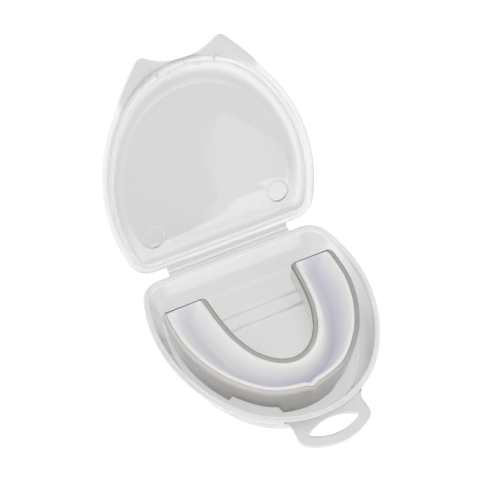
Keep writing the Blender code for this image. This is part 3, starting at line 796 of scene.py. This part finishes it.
def capsule(half_length, radius):
    """Closed outline of a short bar with round ends, along v."""
    points = arc(0.0, half_length - radius, radius, 0.0, 180.0, 8)
    return points + arc(0.0, radius - half_length, radius, 180.0, 360.0, 8)


# the left ring is painted paler than the right: painted light on one of two like marks
for name, x, v, half_width, height, milk_and_shade in (("case_ejector_mark_left", -25.6, 12.3, 0.35, 0.05, 0.9),
                                             ("case_ejector_mark_right", 27.2, 12.6, 0.3, 0.03, 0.7)):
    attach(ring_mark(name, x, v, EJECTOR_R, half_width, height, milk_and_shade), "lid")

# short pale raised bar on the lid's floor
pale_bar_place = LID_FRAME @ Matrix.Translation((PALE_BAR_X * MM, -PALE_BAR_V * MM, 0.0))
pale_bar_levels = plate_levels(LID_DEPTH + 0.04, LID_DEPTH + 0.4, 0.1, milk_face=0.2, milk_edge=0.1)
pale_bar = bevelled_plate("case_pale_bar", [capsule(1.5, 0.28)], pale_bar_levels, pale_bar_place, MARKS)
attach(pale_bar, "lid")


# ---------------------------------------------------------------- mouthguard

def arch_half(keys):
    """Right half of an arch through its key points, level where it meets its mirror image."""
    tail = (-keys[-2][0], keys[-2][1])
    rows = smoothed(keys + [tail], ARCH_STEPS)
    return rows[:ARCH_STEPS * (len(keys) - 1) + 1]


def arch_rows():
    """(share of the arch, inner point, outer point) from the right arm's end round to the left arm's end."""
    inner = arch_half(INNER_ARCH)
    outer = arch_half(OUTER_ARCH)
    count = 2 * len(inner) - 2
    right = [(i / count, p, q) for i, (p, q) in enumerate(zip(inner, outer))]
    end_wall = []
    for share in (0.06, 0.2, 0.45, 0.7):
        p = inner[0].lerp(inner[1], share)
        q = outer[0].lerp(outer[1], share)
        end_wall.append((right[1][0] * share, p, q))
    right[1:1] = end_wall
    left = [(1.0 - s, Vector((-p.x, p.y)), Vector((-q.x, q.y))) for s, p, q in reversed(right[:-1])]
    return right + left


def end_inset(inner):
    """How far the round corner of an arm's end cuts in at this distance from the end."""
    depth = inner.y - INNER_ARCH[0][1]
    if abs(inner.x) < INNER_ARCH[1][0] - 0.5 or depth > ARM_CORNER_R:
        return 0.0
    return ARM_CORNER_R - math.sqrt(max(ARM_CORNER_R ** 2 - (ARM_CORNER_R - depth) ** 2, 0.0))


def guard_low(share):
    """Underside along the arch: deep under the molars and the front teeth, shallow between them."""
    away = abs(share - 0.5)
    front = 1.0 - soft_step(away, 0.060, 0.072)
    molar = soft_step(away, 0.178, 0.192)
    return SHELL_LOW - (SHELL_LOW - GUARD_LOW) * max(front, molar)


def frenum(share):
    """Small notch in the middle of the front lip."""
    return math.exp(-((share - 0.5) / 0.009) ** 2)


def wall_u(z, top, lean):
    """How far a wall's outside stands in from the edge of its lip."""
    if z >= SHELL_LOW:
        return lean * (1.0 - (z - SHELL_LOW) / (top - SHELL_LOW))
    return lean + (SHELL_LOW - z) * 0.12


def shell_side(top, base, lean, painted_shading):
    """Outside of one of the shell's walls, from the middle of its lip down to its foot."""
    side = [(0.75, top), (0.35, top - 0.06), (0.12, top - 0.25), (0.04, top - 0.6)]
    for z in (top - 1.4, (top + base) / 2, base + 2.6, base + 1.6):
        side.append((wall_u(z, top, lean), z))
    foot_u = wall_u(base + 1.6, top, lean)
    side += [(foot_u + 0.25, base + 0.75), (foot_u + 0.8, base + 0.2), (foot_u + 1.6, base)]
    # painted light and shade, one value for each point from the lip to the foot
    return [(u, z, milk_and_shade) for (u, z), milk_and_shade in zip(side, painted_shading)]


def channel_side(top, lip_milk, closed):
    """Channel's side of one of the shell's walls, down to its floor, which closed lifts up to the lip."""
    side = [(1.3, top - 0.06, lip_milk), (SHELL_T, top - 0.35, lip_milk * 0.6),
            (SHELL_T + 0.12, top - 1.2, 0.0), (SHELL_T + LEAN, SHELL_FLOOR + 1.4, 0.0),
            (SHELL_T + LEAN + 0.3, SHELL_FLOOR + 0.4, 0.0), (SHELL_T + LEAN + 1.2, SHELL_FLOOR, 0.0)]
    return [(u, z + (top - 0.1 - z) * closed, milk_and_shade) for u, z, milk_and_shade in side]


def shell_section(width, inner_top, outer_top, share):
    """Clear shell: (distance from the inner edge, height, milk_and_shade), once round. Its right arm is
    painted darker outside: painted shade.
    """
    low = guard_low(share)
    outer_top = outer_top - 1.5 * frenum(share)
    # painted shade: the right arm's outside and outer lip are darkened
    smoky_and_shaded = 1.0 - soft_step(share, 0.3, 0.55)
    from_end = min(share, 1.0 - share)
    closed = 1.0 - soft_step(from_end, 0.7 * END_WALL, END_WALL)
    # painted shade: the top of each arm's end is painted deep, a dark line across the end
    dark = 1.0 - soft_step(from_end, 0.2 * END_WALL, 0.9 * END_WALL)
    points = shell_side(inner_top, SHELL_LOW, INNER_LEAN, INNER_PAINTED_SHADING)
    points.append((0.34 * width, SHELL_LOW - 0.1, 0.0))
    points += [(0.39 * width, low + 0.8, 0.0), (0.45 * width, low, 0.0)]
    outside = shell_side(outer_top, low, LEAN, OUTER_PAINTED_SHADING)
    points += [(width - u, z, milk_and_shade - 0.7 * smoky_and_shaded) for u, z, milk_and_shade in reversed(outside)]
    points += [(width - u, z, milk_and_shade) for u, z, milk_and_shade in channel_side(outer_top, 1.0 - 0.9 * smoky_and_shaded, closed)]
    points += reversed(channel_side(inner_top, 0.2, closed))
    return [(u, z, milk_and_shade * (1.0 - dark) - dark if z > outer_top - 3.0 else milk_and_shade) for u, z, milk_and_shade in points]


def liner_side(top, bulge):
    """Side of the liner that is bonded to the shell, from its lip down to the channel's floor."""
    lip = LINER_U - bulge
    floor = SHELL_FLOOR + LINER_GAP
    # paler at the lip and darker further down: painted shade
    return [(lip + 0.3, top - 0.02, 0.9), (lip + 0.02, top - 0.3, 0.8), (LINER_U + 0.12, top - 1.2, 0.5),
            (LINER_U + LEAN, floor + 1.4, 0.3), (LINER_U + LEAN + 0.3, floor + 0.4, 0.3),
            (LINER_U + LEAN + 1.2, floor, 0.3)]


def liner_top(top, bulge, trough, middle, pale):
    """Top of the liner from its lip down into the trough's middle, darker and bluish towards the bottom:
    partly the liner's bluish tint, partly painted shade.
    """
    lip = LINER_U - bulge
    keys = [(lip + 0.7, 1.0, 1.0), (lip + 1.3, 0.985, 1.0), (lip + 2.0, 0.88, 1.0), (lip + 2.7, 0.68, 0.9),
            (lip + 3.5, 0.42, 0.7 + 0.25 * pale), (lip + 4.5, 0.17, 0.35 + 0.35 * pale),
            (middle, 0.0, 0.1 + 0.35 * pale)]
    return [(u, trough + (top - trough) * share, milk_and_shade) for u, share, milk_and_shade in smoothed(keys, 2)]


def liner_section(width, inner_top, outer_top, share):
    """White liner: (distance from the inner edge, height, milk_and_shade), once round. Its left arm's trough
    is painted paler: painted light.
    """
    outer_top = outer_top - 0.5 * frenum(share)
    bulge = 0.9 * frenum(share)
    from_end = min(share, 1.0 - share)
    depth = 1.0 - math.exp(-max(from_end - END_WALL * 2.0, 0.0) / 0.012)
    trough = inner_top - (inner_top - SHELL_LOW - 2.9) * depth
    # painted light: the left arm's trough is paler
    pale = soft_step(share, 0.45, 0.75)
    points = liner_side(inner_top, 0.0)
    points += [(width - u, z, milk_and_shade) for u, z, milk_and_shade in reversed(liner_side(outer_top, bulge))]
    outer = liner_top(outer_top, bulge, trough, 0.5 * width, pale)
    points += [(width - u, z, milk_and_shade) for u, z, milk_and_shade in outer[:-1]]
    points += reversed(liner_top(inner_top, 0.0, trough, 0.5 * width, pale))
    return points


def sweep_guard(name, section, first, material):
    """Sweeps a section along the arch, from its row number first to the same row of the other arm."""
    rows = arch_rows()
    rings = []
    for share, inner, outer in rows[first:len(rows) - first]:
        width = (outer - inner).length
        way = (outer - inner) / width
        inset = end_inset(inner)
        squeeze = (width - 2 * inset) / width
        towards_front = math.sin(math.pi * share)
        tops = (ARM_TOP + INNER_RISE * towards_front, ARM_TOP + FRONT_RISE * towards_front)
        points = []
        milks = []
        for u, z, milk_and_shade in section(width, *tops, share):
            point = inner + way * (inset + u * squeeze)
            points.append((point.x, -point.y, z + TABLE))
            milks.append(milk_and_shade)
        rings.append((points, milks))
    bm, loops = loft(rings)
    caps = [bm.faces.new(loops[0]), bm.faces.new(loops[-1])]
    bmesh.ops.triangulate(bm, faces=caps, ngon_method="EAR_CLIP")
    obj = to_object(name, bm, BASE_FRAME, material)
    obj.data.set_sharp_from_angle(angle=math.radians(50))
    return obj


guard = sweep_guard("guard_clear_shell", shell_section, 0, SHELL)
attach(guard, "mouthguard")
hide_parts("guard_shell", "molar_pad_left", "molar_pad_right", "front_pad")
liner = sweep_guard("guard_soft_liner", liner_section, 5, LINER)
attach(liner, "mouthguard")
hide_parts("guard_liner")


# ---------------------------------------------------------------- camera, light and floor

def make_camera():
    azimuth = math.radians(CAMERA_AZIMUTH)
    elevation = math.radians(CAMERA_ELEVATION)
    right = Vector((math.cos(azimuth), math.sin(azimuth), 0.0))
    back = Vector((math.sin(azimuth) * math.cos(elevation), -math.cos(azimuth) * math.cos(elevation),
                   math.sin(elevation)))
    up = back.cross(right)
    # the camera looks along -back
    data = bpy.data.cameras.new("camera")
    data.lens = CAMERA_LENS
    data.sensor_width = 36.0
    data.clip_start = 0.01
    data.clip_end = 20.0
    camera = bpy.data.objects.new("camera", data)
    turn = Matrix((right, up, back)).transposed().to_4x4()
    spot = HINGE + (back * CAMERA_DISTANCE + right * CAMERA_RIGHT + up * CAMERA_UP) * MM
    camera.matrix_world = Matrix.Translation(spot) @ turn
    bpy.context.scene.collection.objects.link(camera)
    bpy.context.scene.camera = camera


def softbox(name, location, size_x, size_y, power):
    """Soft light aimed at the tray."""
    data = bpy.data.lights.new(name, "AREA")
    data.shape = "RECTANGLE"
    data.size = size_x
    data.size_y = size_y
    data.energy = power
    light = bpy.data.objects.new(name, data)
    aim = (Vector((0.0, 0.0, 0.02)) - Vector(location)).to_track_quat("-Z", "Y").to_matrix().to_4x4()
    light.matrix_world = Matrix.Translation(location) @ aim
    bpy.context.scene.collection.objects.link(light)


def stage_plate(name, corners, surface):
    """Flat piece of the stage whose shader inputs are given by name."""
    bm = bmesh.new()
    bm.faces.new([bm.verts.new(corner) for corner in corners])
    mesh = bpy.data.meshes.new(name)
    bm.to_mesh(mesh)
    bm.free()
    material = bpy.data.materials.new(name)
    material.use_nodes = True
    feed(material.node_tree, material.node_tree.nodes["Principled BSDF"], surface)
    mesh.materials.append(material)
    plate = bpy.data.objects.new(name, mesh)
    bpy.context.scene.collection.objects.link(plate)


def make_floor():
    """White table, a hair below the tray."""
    half, z = 8.0, -0.0002
    corners = ((-half, -half, z), (half, -half, z), (half, half, z), (-half, half, z))
    stage_plate("floor", corners, {"Base Color": (*grey(0.3), 1.0), "Emission Color": (*grey(1.0), 1.0),
                                   "Emission Strength": 0.9, "Roughness": 0.9, "Specular IOR Level": 0.1})


def light_card(name, y, outline, strength):
    """Upright glowing card in front of the object, mirrored by the lid's floor; its outline is (x, z)."""
    corners = [(x, y, z) for x, z in outline]
    stage_plate(name, corners, {"Base Color": (*grey(0.0), 1.0), "Emission Color": (*grey(1.0), 1.0),
                                "Emission Strength": strength})


def make_world():
    world = bpy.data.worlds.new("studio")
    world.use_nodes = True
    tree = world.node_tree
    feed(tree, tree.nodes["Background"], {"Color": (*grey(1.0), 1.0), "Strength": 0.70})
    bpy.context.scene.world = world


# places and sizes in metres, power in watts
make_camera()
make_floor()
make_world()
softbox("key_left", (-0.75, -0.05, 0.6), 0.6, 0.6, power=1.5)
softbox("key_right", (0.7, -0.2, 0.45), 0.5, 0.5, power=1.2)
softbox("fill_front", (-0.1, -0.8, 0.6), 0.8, 0.4, power=0.4)
light_card("card_high", -0.80, ((0.15, 0.0), (0.19, 0.08), (0.24, 0.11), (0.24, 0.15), (0.275, 0.19),
                                (0.33, 0.135), (0.37, 0.0)), strength=1.8)
light_card("card_low", -0.79, ((0.15, 0.0), (0.17, 0.055), (0.19, 0.08), (0.23, 0.088), (0.26, 0.102),
                               (0.30, 0.10), (0.34, 0.085), (0.36, 0.0)), strength=4.4)
bpy.context.scene.view_settings.view_transform = "Standard"
